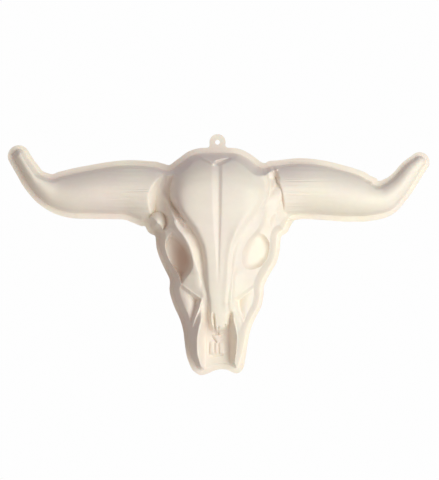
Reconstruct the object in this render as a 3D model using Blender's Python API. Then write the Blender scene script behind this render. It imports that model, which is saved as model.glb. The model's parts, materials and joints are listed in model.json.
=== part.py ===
"""Wall decoration in the form of a long-horned skull, formed from one thin plastic sheet.

The sheet is drawn over a half-relief mould, so it is open at the back and keeps a flat
trimmed flange all round, with a hanging tab at the top. It is parted by thin cuts into
the skull, the two horns and the hanging tab.

Plan sizes are in millimetres on the wall plane: x to the right, z up, both from the
centre of the hanging hole. Relief is how far the form stands out from the flange.
The meshes are made in metres, with the wall plane at y = 0 and the front towards -Y.
"""

from math import radians

import bmesh
import bpy
import numpy as np
from mathutils import Vector
from mathutils.geometry import delaunay_2d_cdt

MM = 0.001

# Sheet, flange and hanging tab
SHEET = 1.0
FLANGE = 6.0
TAB_RADIUS = 10.2
TAB_NECK = ((-10.4, -5.6), (-13, -6.9))
HOLE_RADIUS = 3.0
DOME_TOP_Z = -6.5
TAB_CUT_Z = -5.6
CUT_GAP = 0.3
CUT_INSET = 2.0

# Draft of the mould: rise for each millimetre inwards, and the fillet at the foot
WALL_RISE = 4.5
FOOT_FILLET = 2.0

# Horns from root to tip: x, z of the centre line, half width with flange, relief
LEFT_HORN = (
    (-82, -65.5, 42, 36), (-109.5, -60, 37.8, 34), (-134.5, -60.5, 35.8, 32),
    (-159.5, -62.5, 33.5, 30), (-182, -64, 31, 26), (-200.5, -62.5, 26.5, 22),
    (-215, -58, 20.6, 20), (-229, -47.5, 15.8, 18), (-236, -37.5, 14.6, 17),
    (-242.5, -27.5, 13.9, 16), (-248.5, -17.5, 13.7, 15),
)
RIGHT_HORN = (
    (78, -61.5, 39, 36), (103, -58, 38, 34), (125.5, -59.5, 37.4, 32),
    (148, -63, 35.6, 30), (170.5, -67, 33, 27), (188, -70.5, 28.8, 24),
    (207, -70, 23.8, 20), (222, -60, 19.1, 17), (232, -49.5, 16.8, 15),
    (242.5, -35.5, 15.2, 13), (252.5, -25, 12.6, 10),
)
# Lines where the horns end on the skull, top and bottom, and the rise of each end face
LEFT_ROOT = ((-67, -29), (-84, -100))
RIGHT_ROOT = ((68, -29), (87.5, -100))
LEFT_ROOT_RISE = 1.4
RIGHT_ROOT_RISE = 3.6
SADDLE = 22.0

# Trimmed edge of the skull between the horns and below them
LEFT_DOME = (
    (-20.5, -7.2), (-29.5, -9), (-38, -12.5), (-45.5, -18), (-53, -23.5), (-60, -28.5), (-65.5, -27.5),
)
RIGHT_DOME = ((19.5, -7.2), (28, -8.5), (37, -12.5), (45.5, -18), (54.5, -24.8), (59.5, -26), (64.5, -23.5))
LEFT_EDGE = (
    (-90.5, -105), (-87.5, -111), (-83, -115), (-78, -117), (-77, -123.5), (-76, -133),
    (-72, -145.5), (-65.5, -159.5), (-60.5, -169.5), (-59.5, -176), (-60, -185), (-57.5, -196),
    (-53, -208), (-47, -221), (-43, -235), (-41, -251), (-39, -265), (-35.5, -276),
)
RIGHT_EDGE = (
    (33, -280), (35.5, -267), (37.5, -253.5), (39.5, -242), (42.5, -231), (48, -218.5),
    (54.5, -206), (57.5, -192), (58, -181), (62, -171), (68, -160.5), (74, -150), (77.5, -137),
    (78.5, -126), (80, -117.5), (87, -113), (90.5, -106),
)
MUZZLE_EDGE = (
    (-30.5, -285.5), (-22, -291), (-13, -289.5), (-5.5, -286), (2, -284), (9.5, -284),
    (15.5, -286), (22.5, -289), (29, -287),
)

# Frontal plateau and nasal bridge: half outline down to the nose, the two sides of the
# nose's end, and by height z the crown relief, cross curve, rise of the side wall and
# rounding of its shoulder
PLATEAU = (
    (20, 4), (44, -2), (64, -20), (67, -40), (63, -55), (57.5, -66), (51.5, -77), (45, -88), (37.5, -98.5),
    (29.5, -109), (22.5, -120), (18, -132), (15.5, -148), (14.5, -166), (13.5, -184),
)
NOSE_LEFT = ((12.6, -198), (11.8, -212), (11, -224), (8, -233), (2, -237))
NOSE_RIGHT = ((13.2, -198), (14.5, -212), (15.5, -222), (12.5, -231), (2, -236.5))
CROWN = (
    (-242, 46), (-228, 52), (-216, 58), (-197, 64.5), (-172, 70), (-147, 73.5), (-122, 76),
    (-97, 77.4), (-80, 76.8), (-64, 75.2), (-52, 73), (-42, 69.8), (-36, 65), (-30, 58.5),
    (-24, 48.5), (-18, 37), (-12, 22),
)
CROSS_CURVE = ((-242, 0.02), (-220, 0.016), (-170, 0.013), (-135, 0.01), (-100, 0.005), (-60, 0.001))
PLATEAU_RISE = ((-240, 5.0), (-120, 5.0), (-100, 4.6), (-10, 4.2))
SHOULDER = ((-240, 1.0), (-120, 1.1), (-100, 1.6), (-80, 2.6), (-50, 3.0), (-10, 3.0))
# Rounding of the dome: centre x and z, half width, half height and relief of its foot
DOME = (0.5, -66, 60, 62, 14)

# Lower face by height z: (distance from the centre line, relief) of the valley beside
# the plateau, the brow or prong crest, the foot behind it, and the outer rim
FACE = (
    (-29, (57.5, 26), (64, 25), (69, 25), (77.5, 24)),
    (-60, (62, 22), (66, 22), (71, 23), (79, 24)),
    (-78, (55, 27), (60, 30), (66, 26), (76, 22)),
    (-86, (48.5, 36), (58, 42), (63, 31), (74, 22)),
    (-97, (41, 44), (56, 51), (61.5, 35), (72.5, 22)),
    (-109, (32.5, 48), (49, 56), (56, 40), (68, 28)),
    (-117, (26.5, 50), (42, 58), (49, 42), (68, 26)),
    (-133, (21.5, 51), (32.5, 59), (42, 46), (68, 23)),
    (-147, (19, 51), (29, 59), (38, 48), (66, 23)),
    (-158, (18.5, 50), (25.5, 55), (38, 46), (60, 26)),
    (-167, (18.5, 48), (22.5, 51), (36, 45), (54, 30)),
    (-185, (17.5, 47.5), (22, 49), (33, 43), (46, 36)),
    (-197, (16.5, 44), (20.5, 46), (30, 39), (42.5, 34)),
    (-210, (15, 32), (20, 44), (27.5, 35), (40, 31)),
    (-220, (14, 26), (20, 46), (26.5, 36), (36, 27)),
    (-230, (13, 21), (22.5, 45), (27.5, 35), (34, 24)),
    (-245, (14.5, 13), (25, 37), (28, 31), (32, 22)),
    (-260, (14.5, 10), (25, 31), (27.5, 27), (31, 19)),
    (-272, (15, 7), (23, 24), (25.5, 22), (29.5, 14)),
    (-282, (15, 3), (20.5, 14), (23, 13), (26, 8)),
    (-290, (15, 0), (20, 4), (22.5, 4), (25, 2)),
)
RIGHT_VALLEY_FILL = 1.0
RIGHT_VALLEY_END = -226
RIM_FALL = 0.8

# Eye sockets: outlines, the left one's bowl (x, relief and curve) and the right one's depth
LEFT_ORBIT = (
    (-56.5, -112.5), (-62, -118), (-65, -125.5), (-66, -133.5), (-65, -142), (-61, -152), (-55, -160),
    (-49.5, -168.5), (-44.5, -176.5), (-39.5, -170), (-34.5, -163.5), (-30.5, -156), (-30.5, -147),
    (-34, -137), (-39.5, -128), (-47, -119.5),
)
RIGHT_ORBIT = (
    (50.5, -114), (57, -115.5), (63, -122.5), (66.5, -132), (64.5, -143.5), (58, -151.5), (49.5, -157),
    (40.5, -159), (34, -156.5), (30.5, -148.5), (31, -137), (35.5, -126), (42, -118),
)
ORBIT_BED = (-60.0, 19.0, 0.03)
ORBIT_RISE = 3.0
RIGHT_ORBIT_DEPTH = 8.0
RIGHT_ORBIT_WALL = 13.0

# Cheek hollow under the edge of the flat facet below each socket, and the crest of the
# long bulge in it: x, z and relief
CHEEK_HOLLOW = (
    (44.5, -177.5), (32, -187), (19.5, -195.5), (22.4, -204.8), (27.6, -218.3), (32.5, -233), (40, -244),
    (56, -228), (68, -200), (66, -178),
)
CHEEK_RISE = 2.5
CHEEK_BULGE = (
    (44, -178, 33), (39, -190, 36), (34, -203, 36), (34, -214, 33), (36.5, -226, 28), (38, -238, 22),
)
BULGE_CURVE = 0.035

# Ear bumps below the horn roots: x, z, half width, half height; the left one in a moat
LEFT_EAR = (-74.5, -100, 11, 12.5)
RIGHT_EAR = (77, -100, 12, 12.5)
EAR_BASE = 20.0
EAR_RISE = 13.0
RIGHT_EAR_RISE = 5.0
# Mound between the dome and the right ear bump: x, z, half size, rise
RIGHT_MOUND = (62, -73, 28, 12)

# Seam of the forehead and its two arms
SEAM_X = 1.2
SEAM_LEFT_WIDTH = 9.5
SEAM_RIGHT_WIDTH = 5.5
SEAM_DEPTH = ((-178, 0), (-150, 0.9), (-100, 2.0), (-60, 2.5), (-27, 2.8), (-10, 2.8))
SEAM_TOP = (0.5, -27)
SEAM_ARMS = ((-23, -18.5, 1.6), (18, -17.5, 2.6))
ARM_WIDTH = 4.5

# Three teeth on the recess floor
TOOTH_EDGES = (-9.8, -3.6, 1.6, 7.0)
TEETH_TOP = -250
TEETH_BOTTOM = -265
TOOTH_RELIEF = 1.8

# Mesh: distance between points on the trimmed edge, on the mould's lines and inside
EDGE_STEP = 4.6
LINE_STEP = 4.4
FACE_GRID = 5.2
HORN_GRID = 7.0
SNAP = 1.7
FOOT_RINGS = (0.0, 1.0, 2.3)
FORM_RINGS = ((5.5, 4.6), (10.0, 5.0), (16.0, 6.0))
SLIVER = 0.01

PLASTIC = {"skull": "F3E8DA", "horn_left": "F1E6D8", "horn_right": "F1E6D8", "hanging_tab": "F3E8DA"}


def linear_colour(hex_code):
    """Linear red, green and blue of an sRGB hex colour."""
    values = [int(hex_code[i:i + 2], 16) / 255 for i in (0, 2, 4)]
    return [v / 12.92 if v <= 0.04045 else ((v + 0.055) / 1.055) ** 2.4 for v in values]


def hermite(start, end, rise_start, rise_end, width, part):
    """Cubic between two values with given slopes, at a part from 0 to 1 of its width."""
    square = part * part
    cube = square * part
    return (
        (2 * cube - 3 * square + 1) * start + (cube - 2 * square + part) * width * rise_start
        + (3 * square - 2 * cube) * end + (cube - square) * width * rise_end
    )


def knot_slopes(places, values):
    """Slopes of a curve that keeps its high and low points at its knots."""
    steps = np.diff(places, axis=0)
    rises = np.diff(values, axis=0) / steps
    slopes = np.empty_like(values)
    slopes[0] = rises[0]
    slopes[-1] = rises[-1]
    same = rises[:-1] * rises[1:] > 0
    both = np.where(same, rises[:-1] + rises[1:], 1.0)
    slopes[1:-1] = np.where(same, 2 * rises[:-1] * rises[1:] / both, 0.0)
    return slopes


def read_curve(places, values, at):
    """Values at places on the smooth curve through knots; places may differ per column."""
    places = np.asarray(places, dtype=float)
    values = np.asarray(values, dtype=float)
    if places.ndim == 1:
        places = places[:, None]
        values = values[:, None]
    slopes = knot_slopes(places, values)
    result = np.where(at <= places[0], values[0], values[-1])
    for i in range(len(places) - 1):
        width = places[i + 1] - places[i]
        part = np.clip((at - places[i]) / width, 0, 1)
        curve = hermite(values[i], values[i + 1], slopes[i], slopes[i + 1], width, part)
        result = np.where((at > places[i]) & (at <= places[i + 1]), curve, result)
    return result


def by_height(stations, z):
    """A size given at a few heights, read at heights z."""
    ordered = sorted(stations)
    return read_curve([s[0] for s in ordered], [s[1] for s in ordered], z)


def smooth_line(points, step):
    """Rounded line through points, with a point about every step."""
    pts = np.asarray(points, dtype=float)
    padded = np.vstack((2 * pts[0] - pts[1], pts, 2 * pts[-1] - pts[-2]))
    fine = []
    for a, b, c, d in zip(padded, padded[1:], padded[2:], padded[3:]):
        for t in np.linspace(0, 1, 12, endpoint=False):
            fine.append(0.5 * (2 * b + (c - a) * t + (2 * a - 5 * b + 4 * c - d) * t * t
                               + (3 * b - a - 3 * c + d) * t ** 3))
    return spaced(np.vstack((fine, pts[-1])), step)


def spaced(line, step):
    """The same line with evenly spaced points."""
    lengths = np.concatenate(([0], np.cumsum(np.linalg.norm(np.diff(line, axis=0), axis=1))))
    count = max(2, int(round(lengths[-1] / step)) + 1)
    marks = np.linspace(0, lengths[-1], count)
    return np.column_stack([np.interp(marks, lengths, line[:, k]) for k in range(line.shape[1])])


def arc(centre, radius, start, end, step):
    """Points on an arc, angles in degrees."""
    count = max(3, int(abs(radians(end - start)) * radius / step) + 1)
    angles = np.radians(np.linspace(start, end, count))
    return np.column_stack((centre[0] + radius * np.cos(angles), centre[1] + radius * np.sin(angles)))


def horn_line(stations):
    """Fine centre line of a horn: x, z, half width and relief."""
    return smooth_line(stations, 2.0)


def horn_edges(stations):
    """Left-hand and right-hand trimmed edges of a horn, root to tip, and the tip's arc."""
    line = horn_line(stations)
    way = np.gradient(line[:, :2], axis=0)
    way /= np.linalg.norm(way, axis=1)[:, None]
    side = np.column_stack((-way[:, 1], way[:, 0]))
    left = line[:, :2] + side * line[:, 2:3]
    right = line[:, :2] - side * line[:, 2:3]
    heading = np.degrees(np.arctan2(way[-1, 1], way[-1, 0]))
    tip = arc(line[-1, :2], line[-1, 2], heading - 80, heading + 80, 2.0)
    return left, right, tip


def trimmed_edge(step, with_tab):
    """Whole trimmed edge, anticlockwise as seen from the front, with or without the tab."""
    left_low, left_high, left_tip = horn_edges(LEFT_HORN)
    right_high, right_low, right_tip = horn_edges(RIGHT_HORN)
    left_low = left_low[left_low[:, 0] < -94]
    left_high = left_high[left_high[:, 0] < -76]
    right_low = right_low[right_low[:, 0] > 95]
    right_high = right_high[right_high[:, 0] > 74]
    top = np.vstack((arc((0, 0), TAB_RADIUS, -18, 198, 2.0), TAB_NECK)) if with_tab else ((0, DOME_TOP_Z),)
    end = [(-x, z) for x, z in TAB_NECK[::-1]] if with_tab else [(10, DOME_TOP_Z - 0.2)]
    whole = np.vstack((
        top, LEFT_DOME, left_high, left_tip, left_low[::-1], LEFT_EDGE,
        MUZZLE_EDGE, RIGHT_EDGE, right_low, right_tip, right_high[::-1], RIGHT_DOME[::-1], end,
    ))
    return spaced(smooth_line(np.vstack((whole, whole[:1])), step * 0.5), step)[:-1]


def segment_distance(points, line):
    """Distance of each point to a line, with the nearest segment and the part along it."""
    best = np.full(len(points), np.inf)
    where = np.zeros(len(points), dtype=int)
    part = np.zeros(len(points))
    for i, (a, b) in enumerate(zip(line[:-1, :2], line[1:, :2])):
        run = b - a
        t = np.clip((points - a) @ run / (run @ run), 0, 1)
        gap = np.linalg.norm(points - a - t[:, None] * run, axis=1)
        nearer = gap < best
        best[nearer] = gap[nearer]
        where[nearer] = i
        part[nearer] = t[nearer]
    return best, where, part


def inside(points, loop):
    """Whether each point lies inside a closed outline."""
    result = np.zeros(len(points), dtype=bool)
    x, z = points[:, 0], points[:, 1]
    for (ax, az), (bx, bz) in zip(loop, np.roll(loop, -1, axis=0)):
        if az == bz:
            continue
        crosses = (az > z) != (bz > z)
        result ^= crosses & (x < (bx - ax) * (z - az) / (bz - az) + ax)
    return result


def depth_inside(points, loop):
    """Distance to a closed outline, positive inside it."""
    closed = np.vstack((loop, loop[:1]))
    gap = segment_distance(points, closed)[0]
    return np.where(inside(points, loop), gap, -gap)


def closed_loop(points, step=2.0):
    """Rounded closed outline through points."""
    pts = np.asarray(points, dtype=float)
    return smooth_line(np.vstack((pts, pts[:1])), step)[:-1]


def higher(a, b, blend):
    """The higher of two surfaces, with a fillet where they cross."""
    near = np.maximum(blend - np.abs(a - b), 0) / blend
    return np.maximum(a, b) + near * near * blend / 4


def lower(a, b, blend):
    """The lower of two surfaces, with a rounding where they cross."""
    return -higher(-a, -b, blend)


def soft_step(part):
    """Rises smoothly from 0 to 1."""
    part = np.clip(part, 0, 1)
    return part * part * (3 - 2 * part)


EDGE = trimmed_edge(EDGE_STEP, True)
FORM_EDGE = trimmed_edge(EDGE_STEP, False)
PLATEAU_LOOP = np.vstack((
    smooth_line([(-x, z) for x, z in PLATEAU + NOSE_LEFT], 3.0),
    smooth_line((PLATEAU + NOSE_RIGHT)[::-1], 3.0),
))
LEFT_ORBIT_LOOP = closed_loop(LEFT_ORBIT)
RIGHT_ORBIT_LOOP = closed_loop(RIGHT_ORBIT)
HOLLOW_LOOP = spaced(np.array(CHEEK_HOLLOW + CHEEK_HOLLOW[:1], dtype=float), 2.0)[:-1]


def upper_body(points):
    """Frontal domes and nasal bridge, standing above the rest of the face."""
    x, z = points[:, 0], points[:, 1]
    top = by_height(CROWN, z) - by_height(CROSS_CURVE, z) * x * x
    shoulder = depth_inside(points, PLATEAU_LOOP)
    softness = by_height(SHOULDER, z)
    fall = np.logaddexp(0, (2.2 - shoulder) / softness) * softness * by_height(PLATEAU_RISE, z)
    middle, height, half_width, half_height, foot = DOME
    reach = np.square((x - middle) / half_width) + np.square(np.maximum(z - height, 0) / half_height)
    rounding = np.where(z > height - 80, soft_step((z - height + 80) / 50), 0)
    return foot + (top - fall - foot) * (1 - rounding + rounding * np.sqrt(np.clip(1 - reach ** 3, 0, 1)))


def lower_face(points):
    """Valley, brows, cheeks, prongs and recess floor."""
    rows = sorted(FACE)
    heights = [row[0] for row in rows]
    x = np.abs(points[:, 0])
    z = points[:, 1]
    places = [np.zeros(len(points))]
    reliefs = [read_curve(heights, [row[1][1] for row in rows], z)]
    for k in range(1, 5):
        places.append(read_curve(heights, [row[k][0] for row in rows], z))
        reliefs.append(read_curve(heights, [row[k][1] for row in rows], z))
    fill = np.where(points[:, 0] > 0, RIGHT_VALLEY_FILL, 0.0) * np.clip((z - RIGHT_VALLEY_END) / 12, 0, 1)
    reliefs[1] = reliefs[1] + fill * np.maximum(reliefs[2] - reliefs[1], 0)
    rim = reliefs[-1] - RIM_FALL * np.maximum(x - places[-1], 0)
    inner = read_curve(np.array(places), np.array(reliefs), x)
    return np.where(x > places[-1], rim, inner)


def horn(points, stations, root, root_rise):
    """Half-round horn that starts with an end face at its root line."""
    line = horn_line(stations)
    gap, where, part = segment_distance(points, line)
    width = line[where, 2] + part * (line[where + 1, 2] - line[where, 2]) - FLANGE
    relief = line[where, 3] + part * (line[where + 1, 3] - line[where, 3])
    body = relief * np.sqrt(np.clip(1 - (gap / width) ** 2, 0, 1))
    top, bottom = np.array(root, dtype=float)
    across = np.array((top[1] - bottom[1], bottom[0] - top[0])) / np.linalg.norm(top - bottom)
    outward = across * np.sign(across[0] * stations[-1][0])
    end_face = SADDLE + root_rise * ((points - top) @ outward)
    return lower(body, end_face, 3.0)


def carve_orbits(points, face):
    """Eye sockets: a deep bowl on the left and a shallow hollow on the right."""
    depth = depth_inside(points, LEFT_ORBIT_LOOP)
    middle, floor, curve = ORBIT_BED
    bed = floor + curve * (points[:, 0] - middle - 0.15 * np.maximum(-130 - points[:, 1], 0)) ** 2
    pit = higher(face - ORBIT_RISE * depth, bed, 3.0)
    face = np.where(depth > 0, np.minimum(face, pit), face)
    part = np.clip(depth_inside(points, RIGHT_ORBIT_LOOP) / RIGHT_ORBIT_WALL, 0, 1)
    return face - RIGHT_ORBIT_DEPTH * part * (2 - part)


def carve_cheek(points, face):
    """Hollow under the edge of the cheek facet, with a long bulge in it."""
    mirrored = np.column_stack((np.abs(points[:, 0]), points[:, 1]))
    depth = depth_inside(mirrored, HOLLOW_LOOP)
    crest = smooth_line(CHEEK_BULGE, 3.0)
    gap, where, part = segment_distance(mirrored, crest)
    bulge = crest[where, 2] + part * (crest[where + 1, 2] - crest[where, 2]) - BULGE_CURVE * gap * gap
    hollow = higher(face - CHEEK_RISE * depth, bulge, 2.0)
    return np.where(depth > 0, np.minimum(face, hollow), face)


def add_ears(points, face):
    """Rounded bump below each horn root, the left one in a moat."""
    x, z, half_width, half_height = LEFT_EAR
    reach = np.hypot((points[:, 0] - x) / half_width, (points[:, 1] - z) / half_height)
    knob = EAR_BASE + EAR_RISE * np.sqrt(np.clip(1 - reach ** 2, 0, 1))
    moat = EAR_BASE + 30 * np.maximum(reach - 1.05, 0)
    face = np.where(reach < 1, knob, np.minimum(face, moat))
    x, z, half_width, half_height = RIGHT_EAR
    reach = np.hypot((points[:, 0] - x) / half_width, (points[:, 1] - z) / half_height)
    face = face + RIGHT_EAR_RISE * np.clip(1 - reach ** 2, 0, 1)
    x, z, size, rise = RIGHT_MOUND
    reach = np.hypot(points[:, 0] - x, points[:, 1] - z) / size
    return face + rise * np.square(np.clip(1 - reach ** 2, 0, 1))


def seam_cut(points):
    """Depth of the V seam down the forehead and of its two arms."""
    x, z = points[:, 0] - SEAM_X, points[:, 1]
    depth = by_height(SEAM_DEPTH, z)
    width = np.where(x < 0, SEAM_LEFT_WIDTH, SEAM_RIGHT_WIDTH) * np.clip(depth / 2.6, 0.35, 1)
    cut = depth * soft_step(1 - np.abs(x) / width) * soft_step((SEAM_TOP[1] + 4 - z) / 6)
    for end_x, end_z, arm_depth in SEAM_ARMS:
        gap = segment_distance(points, np.array((SEAM_TOP, (end_x, end_z)), dtype=float))[0]
        cut = np.maximum(cut, arm_depth * soft_step(1 - gap / ARM_WIDTH))
    return cut


def teeth(points):
    """Relief of the three teeth on the recess floor."""
    x, z = points[:, 0], points[:, 1]
    total = np.zeros(len(points))
    for left, right in zip(TOOTH_EDGES, TOOTH_EDGES[1:]):
        half = (right - left) / 2
        across = np.clip(1 - ((x - left - half) / half) ** 4, 0, 1)
        upright = soft_step((TEETH_TOP + 2 - z) / 4) * soft_step((z - TEETH_BOTTOM) / 2.5)
        total = np.maximum(total, TOOTH_RELIEF * across * upright)
    return total


def relief(points):
    """How far the form stands out from the flange at each plan point."""
    depth = depth_inside(points, FORM_EDGE) - FLANGE
    face = lower_face(points)
    face = add_ears(points, face)
    face = carve_orbits(points, face)
    face = carve_cheek(points, face) + teeth(points)
    face = higher(face, upper_body(points), 6 + 20 * soft_step(points[:, 0] / 30))
    face = face - seam_cut(points)
    face = higher(face, horn(points, LEFT_HORN, LEFT_ROOT, LEFT_ROOT_RISE), 2.0)
    face = higher(face, horn(points, RIGHT_HORN, RIGHT_ROOT, RIGHT_ROOT_RISE), 2.0)
    rise = np.maximum(depth, 0)
    wall = WALL_RISE * (np.hypot(rise, FOOT_FILLET) - FOOT_FILLET)
    return np.where(depth > 0, np.maximum(lower(face, wall, 3.0), 0), 0)


def keep_side(loop, start, end, shift):
    """The part of a closed outline to the left of a line that is moved left by shift."""
    start, end = np.array(start, dtype=float), np.array(end, dtype=float)
    way = (end - start) / np.linalg.norm(end - start)
    side = (loop - start) @ np.array((-way[1], way[0])) - shift
    entry = np.flatnonzero((side < 0) & (np.roll(side, -1) >= 0))[0]
    loop = np.roll(loop, -entry, axis=0)
    side = np.roll(side, -entry)
    leave = np.flatnonzero((side >= 0) & (np.roll(side, -1) < 0))[0]
    first = loop[0] + (loop[1] - loop[0]) * side[0] / (side[0] - side[1])
    after = (leave + 1) % len(loop)
    last = loop[leave] + (loop[after] - loop[leave]) * side[leave] / (side[leave] - side[after])
    middle = loop[1:leave + 1]
    clear = np.minimum(np.linalg.norm(middle - first, axis=1), np.linalg.norm(middle - last, axis=1)) > 1.2
    cut = spaced(np.vstack((last, first)), LINE_STEP)
    return np.vstack((middle[clear], cut))


def node_outlines():
    """Outline of each node, parted at the horn roots and below the tab."""
    reach = 0.12
    cuts = []
    for top, bottom in (LEFT_ROOT, RIGHT_ROOT):
        top, bottom = np.array(top, dtype=float), np.array(bottom, dtype=float)
        cuts.append((top + (top - bottom) * reach, bottom + (bottom - top) * reach))
    (left_top, left_bottom), (right_top, right_bottom) = cuts
    half = CUT_GAP / 2
    middle = keep_side(EDGE, left_top, left_bottom, half + CUT_INSET)
    middle = keep_side(middle, right_bottom, right_top, half + CUT_INSET)
    return {
        "skull": keep_side(middle, (1, TAB_CUT_Z), (-1, TAB_CUT_Z), half),
        "horn_left": keep_side(EDGE, left_bottom, left_top, half - CUT_INSET),
        "horn_right": keep_side(EDGE, right_top, right_bottom, half - CUT_INSET),
        "hanging_tab": keep_side(middle, (-1, TAB_CUT_Z), (1, TAB_CUT_Z), half),
    }


def shrunk(loop, depth):
    """A closed outline moved inwards by a depth, or outwards by a negative one."""
    way = np.roll(loop, -1, axis=0) - np.roll(loop, 1, axis=0)
    way /= np.linalg.norm(way, axis=1)[:, None]
    turned = np.column_stack((-way[:, 1], way[:, 0]))
    if not inside((loop + turned)[:1], loop)[0]:
        turned = -turned
    places = loop + turned * depth
    return places[np.abs(depth_inside(places, loop) - depth) < 0.4]


def mould_lines():
    """Crests, valleys and edges that the mesh of the skull follows."""
    lines = [shrunk(PLATEAU_LOOP, depth) for depth in (-7, -2.2, 2.2)]
    for loop in (LEFT_ORBIT_LOOP, RIGHT_ORBIT_LOOP):
        lines += [loop] + [shrunk(loop, depth) for depth in (4.5, 9)]
    for side in (-1, 1):
        lines.append(smooth_line([(side * row[1][0], row[0]) for row in FACE if row[0] < -205], 3.0))
        for k in (2, 3):
            lines.append(smooth_line([(side * row[k][0], row[0]) for row in FACE], 3.0))
        corner = np.array(CHEEK_HOLLOW[:7], dtype=float) * (side, 1)
        lines += [corner, corner + (side * 3.0, -1.5)]
    seam = np.array([(SEAM_X, z) for z in np.arange(-135, SEAM_TOP[1] + 1, 3.0)])
    lines += [seam + (shift, 0) for shift in (0, -SEAM_LEFT_WIDTH, SEAM_RIGHT_WIDTH)]
    for x, z, _ in SEAM_ARMS:
        lines.append(spaced(np.array((SEAM_TOP, (x, z)), dtype=float), 3.0))
    for x, z, half_width, half_height in (LEFT_EAR, RIGHT_EAR):
        ring = arc((0, 0), 1, 0, 360, 0.35)
        for size in (1.05, 0.8):
            lines.append(ring * (half_width * size, half_height * size) + (x, z))
    return lines


def horn_lines(root, heading):
    """Lines across a horn that its end face follows."""
    top, bottom = np.array(root, dtype=float)
    return [np.array((top, bottom)) + (heading * shift, 0) for shift in (0.5, 4.0, 8.0)]


def add_line(kept, edges, line, outline):
    """Adds a line's points and the edges between them, through any points close to it."""
    places = spaced(line, LINE_STEP)
    clear = depth_inside(places, outline) > 0.85
    last = None
    for place, usable in zip(places, clear):
        if not usable:
            last = None
            continue
        gaps = np.hypot(*(np.array(kept) - place).T)
        index = int(np.argmin(gaps))
        if gaps[index] > SNAP:
            kept.append(place)
            index = len(kept) - 1
        if last is not None and last != index:
            edges.append((last, index))
        last = index


def add_spread(kept, new, gap):
    """Adds points that keep a distance from each other and from those before."""
    for place in new:
        if np.min(np.hypot(*(np.array(kept) - place).T)) > gap:
            kept.append(place)


def ring_points(depth, step):
    """Points inside the foot of the form at a depth."""
    way = np.roll(FORM_EDGE, -1, axis=0) - np.roll(FORM_EDGE, 1, axis=0)
    inwards = np.column_stack((-way[:, 1], way[:, 0])) / np.linalg.norm(way, axis=1)[:, None]
    places = FORM_EDGE + inwards * (FLANGE + depth)
    places = spaced(places[np.abs(depth_inside(places, FORM_EDGE) - FLANGE - depth) < 0.3], step)
    return places[np.abs(depth_inside(places, FORM_EDGE) - FLANGE - depth) < 0.3]


def plan_points(outline, grid, lines):
    """Points and edges of a node's plan: outline, foot, mould lines and a loose grid."""
    kept = list(outline)
    edges = [(i, (i + 1) % len(outline)) for i in range(len(outline))]
    for depth in FOOT_RINGS:
        new = within(ring_points(depth, EDGE_STEP), outline)
        base = np.array(kept)
        kept += [place for place in new if np.min(np.hypot(*(base - place).T)) > 0.85]
    for line in lines:
        add_line(kept, edges, line, outline)
    for depth, step in FORM_RINGS:
        add_spread(kept, within(ring_points(depth, step), outline), step * 0.6)
    low, high = outline.min(axis=0), outline.max(axis=0)
    cells = []
    for row, z in enumerate(np.arange(low[1], high[1], grid * 0.866)):
        for x in np.arange(low[0] + grid / 2 * (row % 2), high[0], grid):
            cells.append((x, z))
    cells = np.array(cells)
    cells = cells[depth_inside(cells, FORM_EDGE) > FLANGE + FORM_RINGS[0][0] + 1]
    add_spread(kept, within(cells, outline), grid * 0.7)
    return kept, edges


def within(points, outline):
    """Points inside an outline and clear of its edge."""
    if len(points) == 0:
        return points
    return points[depth_inside(points, outline) > 0.85]


def plan_triangles(outline, points, edges, hole):
    """Triangles between plan points, inside the outline and outside the hole."""
    if hole is not None:
        start = len(points)
        points = points + list(hole)
        edges += [(start + i, start + (i + 1) % len(hole)) for i in range(len(hole))]
    made = delaunay_2d_cdt([Vector(p) for p in points], edges, [], 0, 1e-4)
    places = np.array([(p.x, p.y) for p in made[0]])
    middles = np.array([places[list(face)].mean(axis=0) for face in made[2]])
    good = inside(middles, outline)
    if hole is not None:
        good &= ~inside(middles, hole)
    triangles = np.array([face for face, keep in zip(made[2], good) if keep])
    a, b, c = (places[triangles[:, k]] for k in range(3))
    turn = (b[:, 0] - a[:, 0]) * (c[:, 1] - a[:, 1]) - (b[:, 1] - a[:, 1]) * (c[:, 0] - a[:, 0])
    longest = np.max([np.hypot(*(p - q).T) for p, q in ((a, b), (b, c), (c, a))], axis=0)
    triangles[turn < 0] = triangles[turn < 0][:, ::-1]
    triangles = triangles[np.abs(turn) / longest > SLIVER]
    used = np.unique(triangles)
    order = np.full(len(places), -1)
    order[used] = np.arange(len(used))
    return places[used], order[triangles]


def back_relief(places, triangles, front):
    """Relief of the sheet's back, a full sheet thickness behind every sloping face."""
    a, b, c = triangles.T
    ab, ac = places[b] - places[a], places[c] - places[a]
    rise_b, rise_c = front[b] - front[a], front[c] - front[a]
    area = ab[:, 0] * ac[:, 1] - ab[:, 1] * ac[:, 0]
    slope_x = (rise_b * ac[:, 1] - rise_c * ab[:, 1]) / area
    slope_z = (rise_c * ab[:, 0] - rise_b * ac[:, 0]) / area
    stretch = np.sqrt(1 + slope_x ** 2 + slope_z ** 2)
    thickest = np.ones(len(places))
    for corner in (a, b, c):
        np.maximum.at(thickest, corner, stretch)
    return np.maximum(front - SHEET * np.minimum(thickest, 5.0), 0)


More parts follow.
